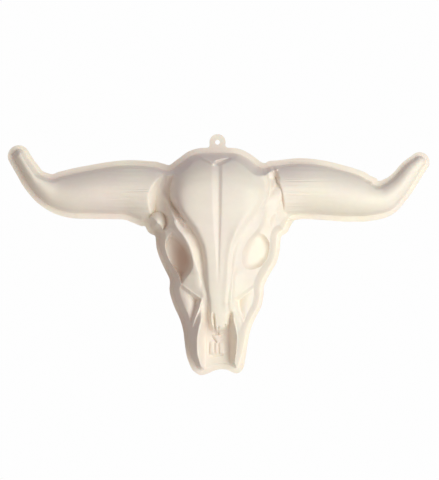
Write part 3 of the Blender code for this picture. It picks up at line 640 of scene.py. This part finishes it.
def add_fine_lines(points, relief):
    """Thin ridges and grooves of the sculpted mould."""
    for line, height, half_width in FINE_LINES:
        path = smooth_line(line, LINE_STEP) if len(line) > 2 else np.array(line, dtype=float)
        gap, where, part = segment_distance(points, path)
        along = (where + part) / (len(path) - 1)
        fade = np.minimum(1.0, 6 * np.minimum(along, 1 - along) + 0.25)
        relief = relief + height * fade * soft_step(1 - gap / half_width)
    beak = np.array(BEAK, dtype=float)
    return relief + BEAK_RELIEF * soft_step(depth_inside(points, beak) / 1.6)


def linear(hex_code):
    """Linear red, green and blue of an sRGB hex colour."""
    values = [int(hex_code[i:i + 2], 16) / 255 for i in (0, 2, 4)]
    return tuple(v / 12.92 if v <= 0.04045 else ((v + 0.055) / 1.055) ** 2.4 for v in values)


class SheetSizes(bpy.types.PropertyGroup):
    """Sizes and colours of the formed sheet."""

    thickness: bpy.props.FloatProperty(
        name="Sheet thickness", description="Thickness of the film before it is formed",
        default=0.001, min=0.0004, max=0.003, unit="LENGTH")
    flange: bpy.props.FloatProperty(
        name="Flange width", description="Flat trimmed rim left round the whole form",
        default=0.006, min=0.003, max=0.009, unit="LENGTH")
    hole: bpy.props.FloatProperty(
        name="Hanging hole", description="Radius of the punched hole in the tab",
        default=0.003, min=0.0015, max=0.005, unit="LENGTH")
    cell: bpy.props.FloatProperty(
        name="Film cell", description="Cell of the blank where the form is nearly flat",
        default=0.0024, min=0.0018, max=0.006, unit="LENGTH")
    cream: bpy.props.FloatVectorProperty(
        name="Bone cream", description="Main colour of the plastic",
        subtype="COLOR", size=3, min=0, max=1, default=linear("F6EBDA"))
    blush: bpy.props.FloatVectorProperty(
        name="Pale blush", description="Slightly pinker colour that the cream drifts to",
        subtype="COLOR", size=3, min=0, max=1, default=linear("F1E2D8"))
    # Painted light: warm tint for light bounced deep in the left socket, not a colour of the plastic
    socket_bounce_shade: bpy.props.FloatVectorProperty(
        name="Socket bounce shade", description="Warm tone deep in the left socket",
        subtype="COLOR", size=3, min=0, max=1, default=linear("D3B197"))


class StageSizes(bpy.types.PropertyGroup):
    """Sizes of the floor and strength of the lights."""

    floor_height: bpy.props.FloatProperty(
        name="Floor height", description="Height of the floor below the hanging hole",
        default=-2.1, min=-2.4, max=-0.31, unit="LENGTH")
    distance: bpy.props.FloatProperty(
        name="Camera distance", description="Distance of the camera from the wall plane",
        default=4.0, min=1, max=10, unit="LENGTH")
    view_height: bpy.props.FloatProperty(
        name="View height", description="Height of the camera's view on the wall plane",
        default=0.6, min=0.3, max=2, unit="LENGTH")
    key_power: bpy.props.FloatProperty(
        name="Key light", description="Power of the soft light at the right",
        default=68, min=0, max=500, unit="POWER")
    sky: bpy.props.FloatProperty(
        name="Fill", description="Strength of the even light from all round",
        default=0.42, min=0, max=2)


def edit(obj):
    """Takes an object into edit mode with nothing selected."""
    bpy.ops.object.select_all(action="DESELECT")
    bpy.context.view_layer.objects.active = obj
    obj.select_set(True)
    bpy.ops.object.mode_set(mode="EDIT")
    bpy.ops.mesh.select_mode(type="FACE")
    bpy.ops.mesh.select_all(action="DESELECT")
    bpy.ops.object.mode_set(mode="OBJECT")


def pick_faces(obj, chosen):
    """Selects a mesh's faces by a list of true and false, and enters edit mode."""
    edit(obj)
    obj.data.polygons.foreach_set("select", np.asarray(chosen, dtype=bool))
    bpy.ops.object.mode_set(mode="EDIT")


def vert_places(obj):
    """Vertices of a mesh as an array, in metres."""
    places = np.empty(len(obj.data.vertices) * 3)
    obj.data.vertices.foreach_get("co", places)
    return places.reshape(-1, 3)


def set_verts(obj, places):
    """Moves the vertices of a mesh."""
    obj.data.vertices.foreach_set("co", places.ravel())
    obj.data.update()


def mould_relief(places, flange):
    """Relief of the whole mould at mesh points, in millimetres."""
    plan = places[:, (0, 2)] / MM
    result = np.empty(len(plan))
    for start in range(0, len(plan), BATCH):
        part = plan[start:start + BATCH]
        result[start:start + BATCH] = add_fine_lines(part, relief(part, flange / MM))
    return result


def face_middles(obj):
    """Middles of a mesh's faces."""
    middles = np.empty(len(obj.data.polygons) * 3)
    obj.data.polygons.foreach_get("center", middles)
    return middles.reshape(-1, 3)


def facings(obj):
    """How far each face's normal points backwards, from -1 to 1."""
    normals = np.empty(len(obj.data.polygons) * 3)
    obj.data.polygons.foreach_get("normal", normals)
    return normals[1::3]


def face_corners(obj):
    """Number of corners of each face, and the vertex at every corner of every face."""
    counts = np.empty(len(obj.data.polygons), dtype=int)
    obj.data.polygons.foreach_get("loop_total", counts)
    corners = np.empty(len(obj.data.loops), dtype=int)
    obj.data.loops.foreach_get("vertex_index", corners)
    return counts, corners


def corner_means(obj, values):
    """Mean of a value at the corners of each face."""
    counts, corners = face_corners(obj)
    owner = np.repeat(np.arange(len(counts)), counts)
    return np.bincount(owner, weights=values[corners], minlength=len(counts)) / counts


def cut_blank(sizes):
    """Flat film blank, a little larger than the trimmed outline, with square cells."""
    low, high = EDGE.min(axis=0) * MM - BLANK_MARGIN * MM, EDGE.max(axis=0) * MM + BLANK_MARGIN * MM
    width, height = high - low
    middle = (low + high) / 2
    bpy.ops.mesh.primitive_grid_add(
        x_subdivisions=int(width / sizes.cell), y_subdivisions=int(height / sizes.cell), size=1,
        location=(middle[0], 0, middle[1]), rotation=(radians(90), 0, 0))
    film = bpy.context.object
    film.name = "skull_sheet"
    film.scale = (width, height, 1)
    bpy.ops.object.transform_apply(location=True, rotation=True, scale=True)
    waste = depth_inside(face_middles(film)[:, (0, 2)] / MM, EDGE) < -WASTE_FROM
    pick_faces(film, waste)
    bpy.ops.mesh.delete(type="FACE")
    bpy.ops.object.mode_set(mode="OBJECT")
    return film


def refine(film, sizes, miss):
    """Subdivides the cells that miss the mould by more than some millimetres, and those beside them."""
    corners = corner_means(film, mould_relief(vert_places(film), sizes.flange))
    middles = mould_relief(face_middles(film), sizes.flange)
    pick_faces(film, np.abs(corners - middles) > miss)
    bpy.ops.mesh.select_more()
    bpy.ops.mesh.subdivide(number_cuts=1, quadcorner="INNERVERT", ngon=True)
    bpy.ops.object.mode_set(mode="OBJECT")


def drape(film, sizes):
    """Draws the film down on the mould and notes where the back of each point lies."""
    places = vert_places(film)
    front = sizes.thickness / MM + mould_relief(places, sizes.flange)
    places[:, 1] = -front * MM
    set_verts(film, places)
    stretch = 1 / np.maximum(np.abs(facings(film)), LEAST_FACING)
    counts, corners = face_corners(film)
    thickest = np.ones(len(places))
    np.maximum.at(thickest, corners, np.repeat(stretch, counts))
    back = film.data.attributes.new("back", "FLOAT", "POINT")
    behind = np.maximum(front - sizes.thickness / MM * thickest, 0)
    back.data.foreach_set("value", -behind * MM)


def give_thickness(film):
    """Extrudes the draped film and takes the new side to its back."""
    edit(film)
    bpy.ops.object.mode_set(mode="EDIT")
    bpy.ops.mesh.select_all(action="SELECT")
    bpy.ops.mesh.extrude_region()
    bpy.ops.object.mode_set(mode="OBJECT")
    count = len(film.data.vertices)
    moved = np.empty(count, dtype=bool)
    film.data.vertices.foreach_get("select", moved)
    behind = np.empty(count)
    film.data.attributes["back"].data.foreach_get("value", behind)
    places = vert_places(film)
    places[moved, 1] = behind[moved]
    set_verts(film, places)
    film.data.attributes.remove(film.data.attributes["back"])
    edit(film)
    bpy.ops.object.mode_set(mode="EDIT")
    bpy.ops.mesh.select_all(action="SELECT")
    bpy.ops.mesh.normals_make_consistent(inside=False)
    bpy.ops.object.mode_set(mode="OBJECT")


def make_die(name, outline):
    """Prism with a given plan, as deep as the formed sheet and some more."""
    bpy.ops.object.select_all(action="DESELECT")
    bpy.ops.mesh.primitive_circle_add(
        vertices=len(outline), radius=0.1, fill_type="NGON", rotation=(radians(90), 0, 0))
    die = bpy.context.object
    die.name = name
    bpy.ops.object.transform_apply(location=True, rotation=True, scale=True)
    front = np.full(len(outline), DIE_FRONT * MM)
    set_verts(die, np.column_stack((outline[:, 0] * MM, front, outline[:, 1] * MM)))
    bpy.ops.object.mode_set(mode="EDIT")
    bpy.ops.mesh.select_all(action="SELECT")
    bpy.ops.mesh.extrude_region_move(TRANSFORM_OT_translate={"value": (0, DIE_DEPTH * MM, 0)})
    bpy.ops.mesh.select_all(action="SELECT")
    bpy.ops.mesh.normals_make_consistent(inside=False)
    bpy.ops.object.mode_set(mode="OBJECT")
    return die


def press(film, die, operation):
    """Cuts the sheet with a die and puts the die away."""
    bpy.ops.object.select_all(action="DESELECT")
    bpy.context.view_layer.objects.active = film
    film.select_set(True)
    cut = film.modifiers.new(die.name, "BOOLEAN")
    cut.object = die
    cut.operation = operation
    cut.solver = "MANIFOLD"
    bpy.ops.object.modifier_apply(modifier=cut.name)
    bpy.data.objects.remove(die, do_unlink=True)


def thin_out(film):
    """Merges faces where the form is plain, and more of them on the back than on the front."""
    for facing, kept in ((-1, FRONT_KEPT), (1, BACK_KEPT)):
        pick_faces(film, facings(film) * facing > 0.01)
        bpy.ops.mesh.decimate(ratio=kept)
        bpy.ops.object.mode_set(mode="OBJECT")


def open_edges(obj):
    """How many edges of a mesh don't join exactly two faces."""
    edges = np.empty(len(obj.data.loops), dtype=int)
    obj.data.loops.foreach_get("edge_index", edges)
    return int(np.count_nonzero(np.bincount(edges, minlength=len(obj.data.edges)) != 2))


def add_node(tree, kind, links=(), **settings):
    """Adds a shader node; links pair an input with the socket that feeds it."""
    node = tree.nodes.new(kind)
    for name, value in settings.items():
        if name in node.bl_rna.properties:
            setattr(node, name, value)
        else:
            node.inputs[name.replace("_", " ")].default_value = value
    for name, source in links:
        tree.links.new(source, node.inputs[name])
    return node


def formed_plastic(sizes):
    """Vacuum-formed PVC sheet, bone cream.

    Thin matt film drawn warm over a sculpted mould: even colour that drifts a little,
    a soft waxy look from the light that enters it, and a faint grain left by the mould.
    """
    material = bpy.data.materials.new("vacuum_formed_pvc_cream")
    material.use_nodes = True
    tree = material.node_tree
    shader = tree.nodes["Principled BSDF"]
    place = add_node(tree, "ShaderNodeTexCoord").outputs["Object"]

    # Colour drifts over about 70 mm, with a fine cloud about 6 mm across
    drift = add_node(tree, "ShaderNodeTexNoise", [("Vector", place)], Scale=14.0, Detail=2.0)
    cloud = add_node(tree, "ShaderNodeTexNoise", [("Vector", place)], Scale=160.0, Detail=3.0)
    blend = add_node(
        tree, "ShaderNodeMapRange", [("Value", drift.outputs["Fac"])], From_Min=0.35, From_Max=0.7)
    body = add_node(tree, "ShaderNodeMix", [("Factor", blend.outputs["Result"])], data_type="RGBA")
    body.inputs["A"].default_value = (*sizes.cream, 1)
    body.inputs["B"].default_value = (*sizes.blush, 1)
    tone = add_node(
        tree, "ShaderNodeMapRange", [("Value", cloud.outputs["Fac"])], To_Min=0.97, To_Max=1.02)
    shaded = add_node(
        tree, "ShaderNodeHueSaturation",
        [("Color", body.outputs["Result"]), ("Value", tone.outputs["Result"])])

    # Painted warm light deep in the left socket, up to 38 mm wide and 68 mm high: a tint that
    # stands in for the light that bounces between the hollow's walls
    socket_place = add_node(
        tree, "ShaderNodeMapping", [("Vector", place)],
        Location=[-middle / reach for middle, reach in zip(*SOCKET_BOUNCE_SHADE)],
        Scale=[1 / (reach * MM) for reach in SOCKET_BOUNCE_SHADE[1]])
    ball = add_node(
        tree, "ShaderNodeTexGradient", [("Vector", socket_place.outputs["Vector"])],
        gradient_type="SPHERICAL")
    deep = add_node(
        tree, "ShaderNodeMapRange", [("Value", ball.outputs["Fac"])], From_Max=0.7, To_Max=0.75)
    # Painted light: the warm bounce tone is mixed in where the socket mask is strongest
    tinted = add_node(
        tree, "ShaderNodeMix",
        [("Factor", deep.outputs["Result"]), ("A", shaded.outputs["Color"])], data_type="RGBA")
    tinted.inputs["B"].default_value = (*sizes.socket_bounce_shade, 1)
    tree.links.new(tinted.outputs["Result"], shader.inputs["Base Color"])

    # Grooves of the horns, about 2 mm apart, that run out from the roots and fade by 160 mm
    along = add_node(
        tree, "ShaderNodeMapping", [("Vector", place)], Scale=(9.0, 9.0, 600.0))
    grooves = add_node(
        tree, "ShaderNodeTexNoise", [("Vector", along.outputs["Vector"])], Scale=1.0, Detail=2.0)
    axes = add_node(tree, "ShaderNodeSeparateXYZ", [("Vector", place)])
    reach = add_node(tree, "ShaderNodeMath", [(0, axes.outputs["X"])], operation="ABSOLUTE")
    start = add_node(
        tree, "ShaderNodeMapRange", [("Value", reach.outputs["Value"])], From_Min=0.078, From_Max=0.09)
    finish = add_node(
        tree, "ShaderNodeMapRange", [("Value", reach.outputs["Value"])], From_Min=0.105, From_Max=0.16,
        To_Min=1.0, To_Max=0.0)
    span = add_node(
        tree, "ShaderNodeMath", [(0, start.outputs["Result"]), (1, finish.outputs["Result"])],
        operation="MULTIPLY")
    groove_bump = add_node(
        tree, "ShaderNodeBump",
        [("Height", grooves.outputs["Fac"]), ("Strength", span.outputs["Value"])], Distance=0.0016)

    # Grain of the mould, about 1.5 mm across
    grain = add_node(tree, "ShaderNodeTexNoise", [("Vector", place)], Scale=650.0, Detail=3.0)
    grain_bump = add_node(
        tree, "ShaderNodeBump",
        [("Height", grain.outputs["Fac"]), ("Normal", groove_bump.outputs["Normal"])],
        Strength=0.18, Distance=0.0004)
    tree.links.new(grain_bump.outputs["Normal"], shader.inputs["Normal"])
    gloss = add_node(
        tree, "ShaderNodeMapRange", [("Value", cloud.outputs["Fac"])], To_Min=0.44, To_Max=0.58)
    tree.links.new(gloss.outputs["Result"], shader.inputs["Roughness"])
    shader.inputs["IOR"].default_value = 1.53
    shader.inputs["Specular IOR Level"].default_value = 0.35
    shader.inputs["Subsurface Weight"].default_value = 0.25
    shader.inputs["Subsurface Radius"].default_value = (1.0, 0.62, 0.42)
    shader.inputs["Subsurface Scale"].default_value = 0.0015
    return material


class WALLSKULL_OT_form_sheet(bpy.types.Operator):
    """Draw the plastic sheet over the skull mould, trim it and punch its hole"""

    bl_idname = "wallskull.form_sheet"
    bl_label = "Form the sheet"

    def execute(self, context):
        sizes = context.scene.wallskull_sheet
        bpy.ops.object.select_all(action="DESELECT")
        film = cut_blank(sizes)
        for miss in MISSES:
            refine(film, sizes, miss)
        drape(film, sizes)
        give_thickness(film)
        press(film, make_die("trimming_die", EDGE), "INTERSECT")
        turn = np.radians(np.arange(0, 360, 7.5))
        round_hole = np.column_stack((np.cos(turn), np.sin(turn))) * sizes.hole / MM
        press(film, make_die("hole_punch", round_hole), "DIFFERENCE")
        thin_out(film)
        if open_edges(film):
            raise RuntimeError("the trimmed sheet isn't closed")
        bpy.ops.object.shade_smooth_by_angle(angle=radians(50))
        film.data.materials.clear()
        film.data.materials.append(formed_plastic(sizes))
        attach(film, "root")
        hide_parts(*sorted(frame["nodes"]))
        return {"FINISHED"}


def plain_material(name, colour, roughness):
    """Plain matt paint for the stage, with a faint even mottle 20 mm across."""
    material = bpy.data.materials.new(name)
    material.use_nodes = True
    tree = material.node_tree
    shader = tree.nodes["Principled BSDF"]
    place = add_node(tree, "ShaderNodeTexCoord").outputs["Object"]
    mottle = add_node(tree, "ShaderNodeTexNoise", [("Vector", place)], Scale=50.0)
    fade = add_node(tree, "ShaderNodeMapRange", [("Value", mottle.outputs["Fac"])], To_Min=0.97, To_Max=1.0)
    shade = add_node(
        tree, "ShaderNodeHueSaturation", [("Value", fade.outputs["Result"])], Color=(*colour, 1))
    tree.links.new(shade.outputs["Color"], shader.inputs["Base Color"])
    shader.inputs["Roughness"].default_value = roughness
    return material


def soft_light(name, place, aim, width, height, power, colour):
    """Upright area light turned to a point."""
    bpy.ops.object.light_add(type="AREA", location=place)
    lamp = bpy.context.object
    lamp.name = name
    lamp.data.shape = "RECTANGLE"
    lamp.data.size = width
    lamp.data.size_y = height
    lamp.data.energy = power
    lamp.data.color = colour
    lamp.rotation_euler = (Vector(aim) - Vector(place)).to_track_quat("-Z", "Y").to_euler()
    return lamp


def white_surround(scene, strength):
    """White background behind the object and a fill light all round, cooler from above."""
    world = bpy.data.worlds.new("white_surround")
    scene.world = world
    world.use_nodes = True
    tree = world.node_tree
    fill = tree.nodes["Background"]
    fill.inputs["Strength"].default_value = strength
    direction = add_node(tree, "ShaderNodeTexCoord")
    parts = add_node(tree, "ShaderNodeSeparateXYZ", [("Vector", direction.outputs["Generated"])])
    above = add_node(tree, "ShaderNodeMapRange", [("Value", parts.outputs["Z"])], From_Max=0.8)
    tone = add_node(tree, "ShaderNodeMix", [("Factor", above.outputs["Result"])], data_type="RGBA")
    tone.inputs["A"].default_value = (*linear("FFF6F0"), 1)
    tone.inputs["B"].default_value = (*linear("F2F0FF"), 1)
    tree.links.new(tone.outputs["Result"], fill.inputs["Color"])
    white = add_node(tree, "ShaderNodeBackground", Color=(1, 1, 1, 1), Strength=0.99)
    rays = add_node(tree, "ShaderNodeLightPath")
    both = add_node(tree, "ShaderNodeMixShader", [("Fac", rays.outputs["Is Camera Ray"])])
    tree.links.new(fill.outputs["Background"], both.inputs[1])
    tree.links.new(white.outputs["Background"], both.inputs[2])
    tree.links.new(both.outputs["Shader"], tree.nodes["World Output"].inputs["Surface"])


class WALLSKULL_OT_set_stage(bpy.types.Operator):
    """Add the floor, the soft light and the camera in front of the wall plane"""

    bl_idname = "wallskull.set_stage"
    bl_label = "Set the stage"

    def execute(self, context):
        sizes = context.scene.wallskull_stage
        scene = context.scene
        bpy.ops.object.select_all(action="DESELECT")
        bpy.ops.mesh.primitive_cube_add(size=1, location=(0, -0.6, sizes.floor_height - 0.02))
        floor = bpy.context.object
        floor.name = "pale_floor"
        bpy.ops.transform.resize(value=(3.6, 3.2, 0.04))
        bpy.ops.object.transform_apply(location=True, rotation=True, scale=True)
        floor.data.materials.append(plain_material("matt_paint_pale", linear("F4F1EC"), 0.7))
        soft_light(
            "key_light", (1.6, -2.35, -0.32), (0, 0, -0.13), 1.1, 3.4, sizes.key_power, linear("F4FDFC"))
        white_surround(scene, sizes.sky)
        bpy.ops.object.camera_add(
            location=(VIEW_MIDDLE[0] * MM, -sizes.distance, VIEW_MIDDLE[1] * MM),
            rotation=(radians(90), 0, 0))
        camera = bpy.context.object
        camera.data.lens = 36 * sizes.distance / sizes.view_height
        camera.data.sensor_width = 36
        camera.data.clip_end = 50
        scene.camera = camera
        scene.view_settings.view_transform = "Standard"
        return {"FINISHED"}


class WALLSKULL_PT_sidebar(bpy.types.Panel):
    """Sizes and steps of the wall decoration"""

    bl_idname = "WALLSKULL_PT_sidebar"
    bl_label = "Wall skull"
    bl_space_type = "VIEW_3D"
    bl_region_type = "UI"
    bl_category = "Wall skull"

    def draw(self, context):
        column = self.layout.column()
        for group in (context.scene.wallskull_sheet, context.scene.wallskull_stage):
            for name in group.__annotations__:
                column.prop(group, name)
        for operator in (WALLSKULL_OT_form_sheet, WALLSKULL_OT_set_stage):
            column.operator(operator.bl_idname)


CLASSES = (SheetSizes, StageSizes, WALLSKULL_OT_form_sheet, WALLSKULL_OT_set_stage, WALLSKULL_PT_sidebar)


def register():
    for cls in CLASSES:
        bpy.utils.register_class(cls)
    bpy.types.Scene.wallskull_sheet = bpy.props.PointerProperty(type=SheetSizes)
    bpy.types.Scene.wallskull_stage = bpy.props.PointerProperty(type=StageSizes)


def unregister():
    del bpy.types.Scene.wallskull_stage
    del bpy.types.Scene.wallskull_sheet
    for cls in reversed(CLASSES):
        bpy.utils.unregister_class(cls)


def main():
    register()
    bpy.ops.wallskull.form_sheet()
    bpy.ops.wallskull.set_stage()


if __name__ == "__main__":
    main()
